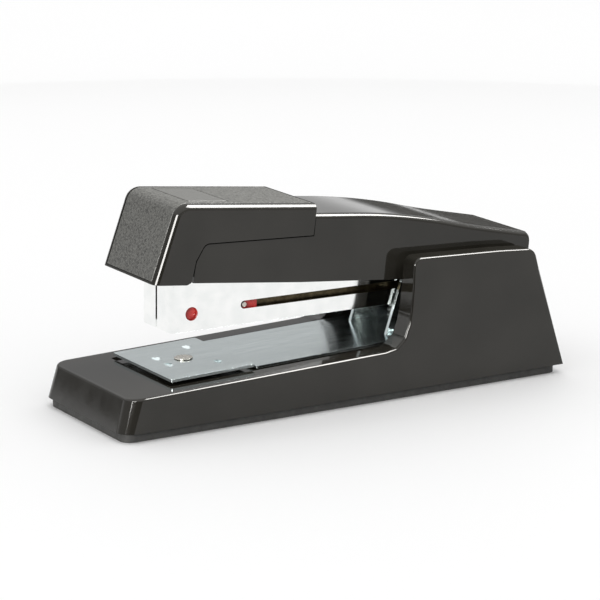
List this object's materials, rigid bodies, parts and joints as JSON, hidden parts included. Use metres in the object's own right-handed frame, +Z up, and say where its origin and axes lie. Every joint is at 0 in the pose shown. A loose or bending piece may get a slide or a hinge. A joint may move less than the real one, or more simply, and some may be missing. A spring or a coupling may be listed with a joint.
{
  "type": "stapler",
  "caption": "Compact half-strip desktop stapler: hollow base with side cheeks, turning anvil, spring-fed magazine and a hinged handle with a textured head cap.",
  "frame": {"origin": "on the table, under the middle of the base's footprint", "axes": "+X from the staple end towards the hinge, +Y towards the far side, +Z up"},
  "size_m": [0.1322, 0.044, 0.0559],
  "materials": {
    "gloss_black": "glossy moulded black plastic",
    "black_vinyl": "fine leather-grained dark grey, satin",
    "label_black": "finer-grained dark grey, satin, blank",
    "button_black": "matt black plastic",
    "rubber": "matt black rubber",
    "chrome": "bright chrome plate",
    "plate_steel": "bright nickel-plated steel, faint brush marks",
    "pin_steel": "satin steel",
    "spring_steel": "drawn spring wire",
    "bronze_steel": "dark bronze-coloured steel",
    "red_plastic": "red moulded plastic, satin"
  },
  "bodies": {
    "base": {"base_shell": "gloss_black", "rubber_foot": "rubber", "pivot_bracket": "plate_steel", "bracket_rivet_1": "plate_steel", "bracket_rivet_2": "plate_steel", "bracket_rivet_3": "plate_steel", "bracket_rivet_4": "plate_steel", "pivot_pin": "pin_steel", "pivot_push_nut": "pin_steel", "return_spring": "spring_steel", "anvil_spring": "spring_steel"},
    "anvil_lifter": {"anvil_button": "button_black"},
    "anvil": {"anvil_plate": "plate_steel", "anvil_post": "pin_steel"},
    "magazine": {"magazine_channel": "chrome", "staple_rail": "bronze_steel", "guide_rod": "bronze_steel", "rod_clip": "spring_steel", "spring_seat": "plate_steel", "pusher_spring": "spring_steel"},
    "pusher": {"pusher": "red_plastic", "pusher_stud_left": "pin_steel", "pusher_stud_right": "pin_steel"},
    "handle": {"handle_cover": "gloss_black", "head_cap": "gloss_black", "grip_pad": "black_vinyl", "label_plate": "label_black", "handle_frame": "plate_steel", "driver_blade": "pin_steel", "driver_rivet_left": "pin_steel", "driver_rivet_right": "pin_steel", "handle_spring": "spring_steel"}
  },
  "joints": [
    {"name": "magazine_pivot", "type": "hinge", "parent": "base", "child": "magazine", "pos_m": [0.0414, 0, 0.028], "axis": [0, 1, 0], "range_deg": [-5.3, 45], "stiffness_Nm_per_rad": 0.8, "springref_deg": 2.86, "deforming": ["return_spring"]},
    {"name": "handle_pivot", "type": "hinge", "parent": "magazine", "child": "handle", "pos_m": [0.0414, 0, 0.028], "axis": [0, 1, 0], "range_deg": [-6, 75], "stiffness_Nm_per_rad": 0.8, "springref_deg": 1.72, "deforming": ["handle_spring"]},
    {"name": "pusher_slide", "type": "slide", "parent": "magazine", "child": "pusher", "axis": [1, 0, -0.0086], "range_m": [0, 0.052], "stiffness_N_per_m": 15, "springref_m": -0.03, "deforming": ["pusher_spring"]},
    {"name": "anvil_lift", "type": "slide", "parent": "base", "child": "anvil_lifter", "axis": [-0.0302, 0, 0.9995], "range_m": [0, 0.001], "stiffness_N_per_m": 400, "springref_m": -0.003, "deforming": ["anvil_spring"]},
    {"name": "anvil_turn", "type": "hinge", "parent": "anvil_lifter", "child": "anvil", "pos_m": [-0.0372, 0, 0.0116], "axis": [-0.0302, 0, 0.9995], "continuous": true}
  ]
}
